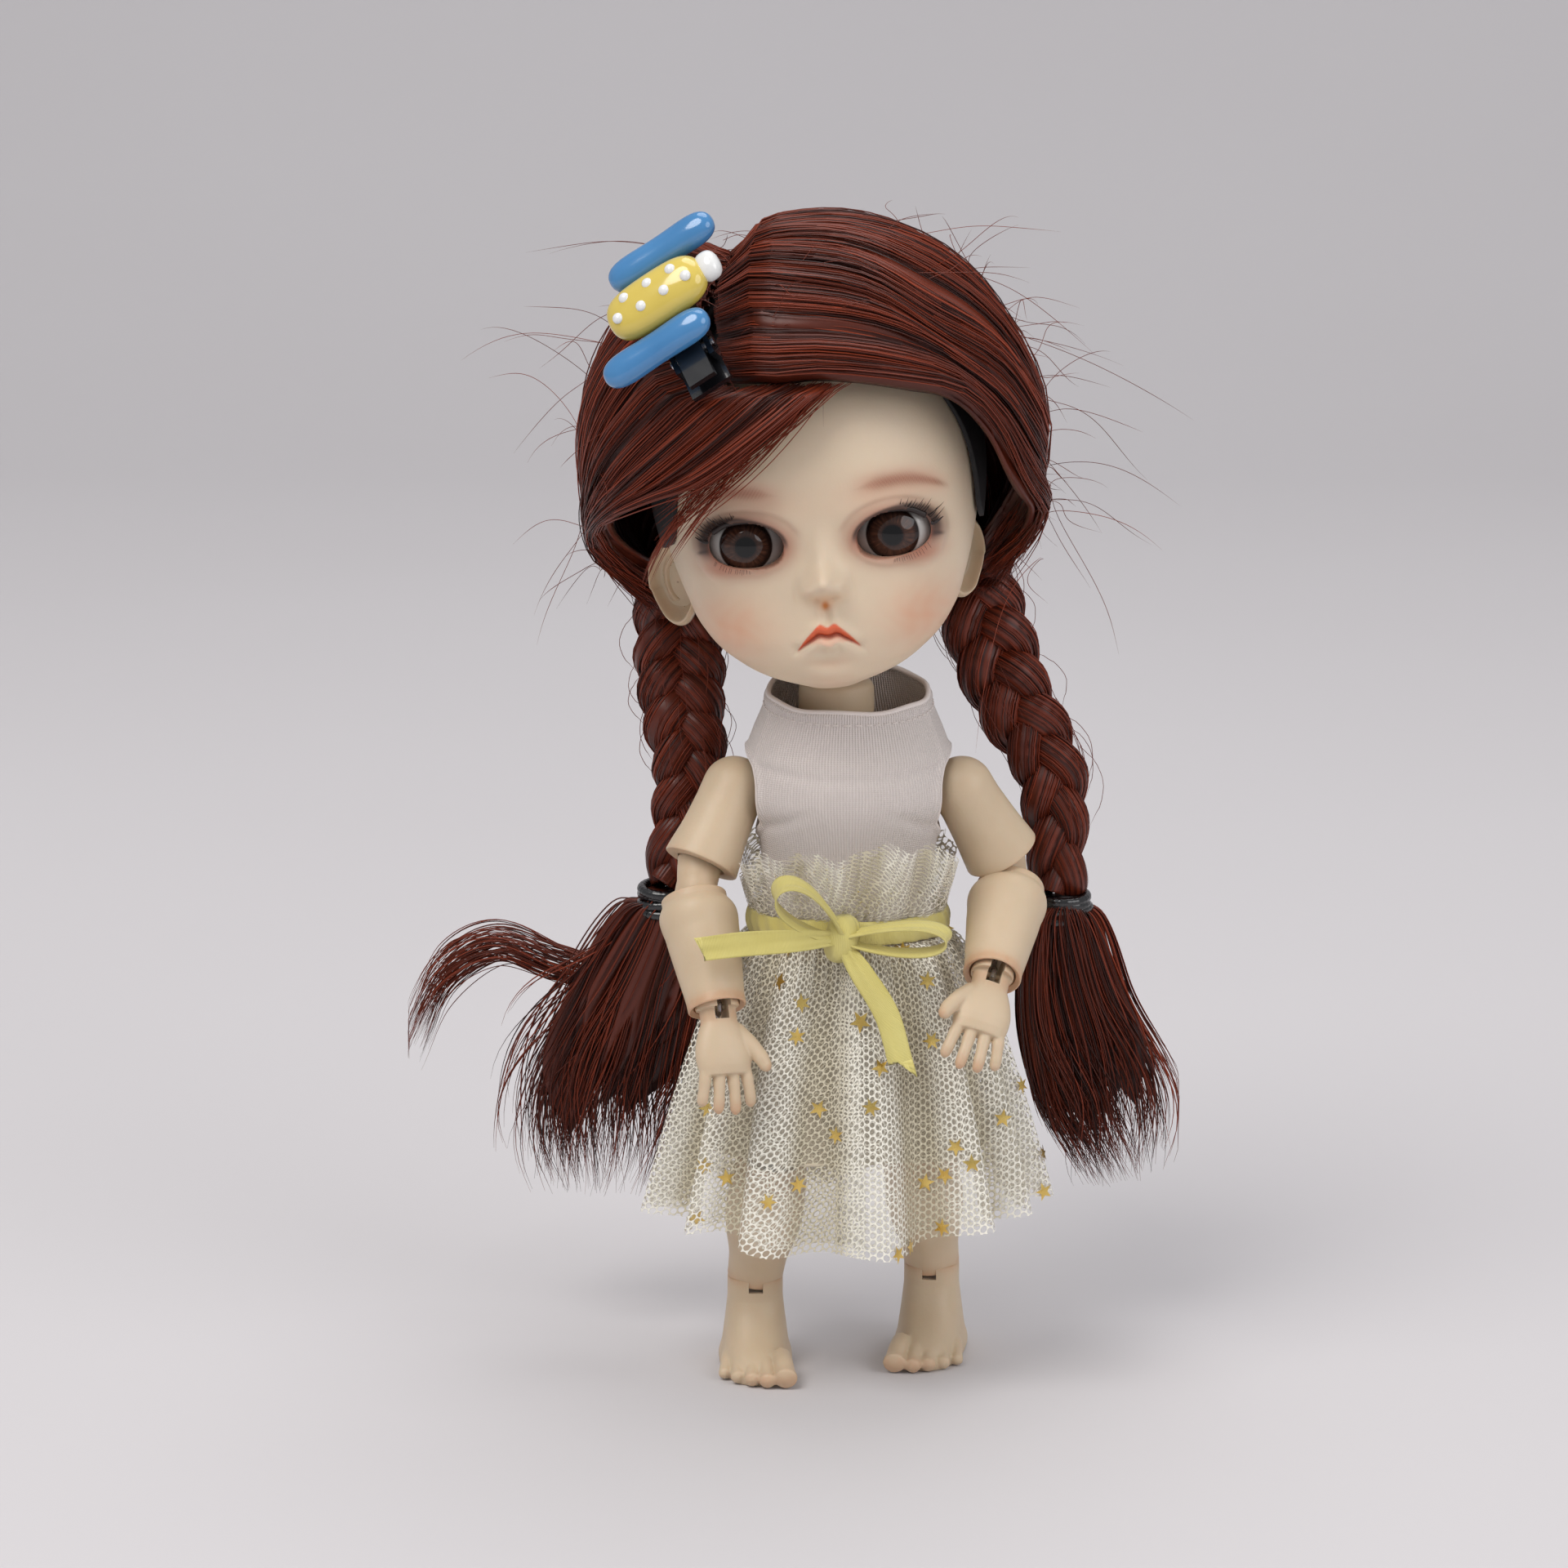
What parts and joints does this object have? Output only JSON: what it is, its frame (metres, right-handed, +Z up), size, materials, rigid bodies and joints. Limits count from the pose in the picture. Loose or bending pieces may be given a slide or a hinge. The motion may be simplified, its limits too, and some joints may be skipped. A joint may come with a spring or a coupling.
{
  "type": "ball jointed doll",
  "caption": "Small strung ball jointed doll in cast resin with braided wig, knit and tulle dress and hair clip, standing.",
  "frame": {"origin": "centre of the bounding box at the floor under the soles", "axes": "+Z up, the doll faces -Y, so +X is its left side"},
  "size_m": [0.1156, 0.0662, 0.1713],
  "materials": {
    "auburn_hair": "silky straight fibre",
    "black_band": "glossy black elastic and enamel",
    "blue_gloss": "gloss",
    "cast_resin": "satin cast resin",
    "cream_lining": "plain weave",
    "cream_tulle": "hexagonal net",
    "glass_eye": "polished glass",
    "lash_fibre": "fine fibre",
    "rib_knit": "fine rib knit",
    "steel_wire": "drawn wire",
    "white_elastic": "covered elastic",
    "wig_net": "knitted net",
    "yellow_gloss": "gloss",
    "yellow_satin": "satin ribbon"
  },
  "bodies": {
    "torso": {"torso": "cast_resin", "skirt": "cream_tulle", "lining": "cream_lining", "ruffle": "cream_tulle", "bodice": "rib_knit", "ribbon_belt": "yellow_satin", "bow": "yellow_satin", "arm_elastic": "white_elastic", "leg_elastic_right": "white_elastic", "leg_elastic_left": "white_elastic", "hair_tie_right": "black_band", "hair_tie_left": "black_band", "tail_right": "auburn_hair", "tail_left": "auburn_hair", "curl_right": "auburn_hair"},
    "neck_hook": {"neck_hook": "steel_wire"},
    "head": {"head_face": "cast_resin", "head_cap": "cast_resin", "eye_right": "glass_eye", "eye_left": "glass_eye", "lash_right": "lash_fibre", "lash_left": "lash_fibre", "wig_cap": "wig_net", "wig_hair": "auburn_hair", "braid_right": "auburn_hair", "braid_left": "auburn_hair", "clip_base": "black_band", "clip_pin": "steel_wire"},
    "clip_lever": {"clip_lever": "black_band", "clip_pillow": "yellow_gloss", "clip_bar_front": "blue_gloss", "clip_bar_back": "blue_gloss"},
    "upper_arm_right": {"upper_arm_right": "cast_resin"},
    "elbow_right": {"elbow_right": "cast_resin"},
    "forearm_right": {"forearm_right": "cast_resin"},
    "hand_hook_right": {"hand_hook_right": "steel_wire"},
    "hand_right": {"hand_right": "cast_resin"},
    "upper_arm_left": {"upper_arm_left": "cast_resin"},
    "elbow_left": {"elbow_left": "cast_resin"},
    "forearm_left": {"forearm_left": "cast_resin"},
    "hand_hook_left": {"hand_hook_left": "steel_wire"},
    "hand_left": {"hand_left": "cast_resin"},
    "thigh_right": {"thigh_right": "cast_resin"},
    "knee_right": {"knee_right": "cast_resin"},
    "shin_right": {"shin_right": "cast_resin"},
    "foot_hook_right": {"foot_hook_right": "steel_wire"},
    "foot_right": {"foot_right": "cast_resin"},
    "thigh_left": {"thigh_left": "cast_resin"},
    "knee_left": {"knee_left": "cast_resin"},
    "shin_left": {"shin_left": "cast_resin"},
    "foot_hook_left": {"foot_hook_left": "steel_wire"},
    "foot_left": {"foot_left": "cast_resin"}
  },
  "joints": [
    {"name": "neck_turn", "type": "hinge", "parent": "torso", "child": "neck_hook", "pos_m": [0.0062, -0.0002, 0.10042], "axis": [-0.0872, 0, 0.9962], "range_deg": [-30, 30], "deforming": ["braid_right", "braid_left"]},
    {"name": "head_nod", "type": "hinge", "parent": "neck_hook", "child": "head", "pos_m": [0.0062, -0.0002, 0.10042], "axis": [0.9924, 0.0872, 0.0868], "range_deg": [-12, 12]},
    {"name": "clip_lever_open", "type": "hinge", "parent": "head", "child": "clip_lever", "pos_m": [-0.01372, -0.02788, 0.15322], "axis": [0.8251, -0.1194, 0.5522], "range_deg": [0, 20], "stiffness_Nm_per_rad": 0.01, "springref_deg": -11.46},
    {"name": "shoulder_right_swing", "type": "hinge", "parent": "torso", "child": "upper_arm_right", "pos_m": [-0.0085, -0.0012, 0.08722], "axis": [-1, 0, 0], "range_deg": [-12, 65], "deforming": ["arm_elastic", "bodice", "ruffle", "bow"]},
    {"name": "elbow_right_upper", "type": "hinge", "parent": "upper_arm_right", "child": "elbow_right", "pos_m": [-0.0135, -0.00618, 0.07655], "axis": [0.2382, 0.8327, -0.4999], "range_deg": [-13, 17]},
    {"name": "elbow_right_lower", "type": "hinge", "parent": "elbow_right", "child": "forearm_right", "pos_m": [-0.01402, -0.00842, 0.07256], "axis": [0.2382, 0.8327, -0.4999], "range_deg": [-13, 18]},
    {"name": "wrist_right_turn", "type": "hinge", "parent": "forearm_right", "child": "hand_hook_right", "pos_m": [-0.01083, -0.01757, 0.05884], "axis": [-0.1899, 0.5447, 0.8168], "range_deg": [-60, 60]},
    {"name": "wrist_right_bend", "type": "hinge", "parent": "hand_hook_right", "child": "hand_right", "pos_m": [-0.01083, -0.01757, 0.05884], "axis": [-0.9228, -0.383, 0.0408], "range_deg": [-20, 30]},
    {"name": "shoulder_left_swing", "type": "hinge", "parent": "torso", "child": "upper_arm_left", "pos_m": [0.0243, -0.0012, 0.08722], "axis": [-1, 0, 0], "range_deg": [-5, 100]},
    {"name": "elbow_left_upper", "type": "hinge", "parent": "upper_arm_left", "child": "elbow_left", "pos_m": [0.03051, 0.0017, 0.07641], "axis": [0.8219, -0.4483, 0.3515], "range_deg": [0, 37]},
    {"name": "elbow_left_lower", "type": "hinge", "parent": "elbow_left", "child": "forearm_left", "pos_m": [0.03142, 0.00007, 0.07221], "axis": [0.8219, -0.4483, 0.3515], "range_deg": [0, 38]},
    {"name": "wrist_left_turn", "type": "hinge", "parent": "forearm_left", "child": "hand_hook_left", "pos_m": [0.02835, -0.01323, 0.06241], "axis": [0.1824, 0.7917, 0.5831], "range_deg": [-60, 60]},
    {"name": "wrist_left_bend", "type": "hinge", "parent": "hand_hook_left", "child": "hand_left", "pos_m": [0.02835, -0.01323, 0.06241], "axis": [-0.9417, -0.0298, 0.3351], "range_deg": [-20, 30]},
    {"name": "hip_right_swing", "type": "hinge", "parent": "torso", "child": "thigh_right", "pos_m": [-0.0001, -0.0012, 0.05542], "axis": [-0.9917, 0, 0.1289], "range_deg": [-20, 42], "deforming": ["skirt", "lining", "ribbon_belt", "leg_elastic_right"]},
    {"name": "knee_right_upper", "type": "hinge", "parent": "thigh_right", "child": "knee_right", "pos_m": [-0.00236, -0.00419, 0.03802], "axis": [0.9917, 0, -0.1289], "range_deg": [-4, 32]},
    {"name": "knee_right_lower", "type": "hinge", "parent": "knee_right", "child": "shin_right", "pos_m": [-0.003, -0.00386, 0.03308], "axis": [0.9917, 0, -0.1289], "range_deg": [-4, 34]},
    {"name": "ankle_right_turn", "type": "hinge", "parent": "shin_right", "child": "foot_hook_right", "pos_m": [-0.0056, 0.0024, 0.01309], "axis": [0.1231, -0.2966, 0.947], "range_deg": [-16, 20]},
    {"name": "ankle_right_pitch", "type": "hinge", "parent": "foot_hook_right", "child": "foot_right", "pos_m": [-0.0056, 0.0024, 0.0131], "axis": [0.9994, 0.0349, 0], "range_deg": [-3, 12]},
    {"name": "hip_left_swing", "type": "hinge", "parent": "torso", "child": "thigh_left", "pos_m": [0.0159, -0.0012, 0.05542], "axis": [-0.9936, 0, -0.1127], "range_deg": [-20, 42], "deforming": ["leg_elastic_left"]},
    {"name": "knee_left_upper", "type": "hinge", "parent": "thigh_left", "child": "knee_left", "pos_m": [0.01788, 0.0016, 0.03796], "axis": [0.9936, 0, 0.1127], "range_deg": [-13, 28]},
    {"name": "knee_left_lower", "type": "hinge", "parent": "knee_left", "child": "shin_left", "pos_m": [0.01843, 0.00274, 0.03312], "axis": [0.9936, 0, 0.1127], "range_deg": [-13, 28]},
    {"name": "ankle_left_turn", "type": "hinge", "parent": "shin_left", "child": "foot_hook_left", "pos_m": [0.0207, 0.009, 0.0131], "axis": [-0.1076, -0.2968, 0.9489], "range_deg": [-20, 20]},
    {"name": "ankle_left_pitch", "type": "hinge", "parent": "foot_hook_left", "child": "foot_left", "pos_m": [0.0207, 0.009, 0.0131], "axis": [0.9925, -0.1219, 0], "range_deg": [-6, 18]}
  ]
}
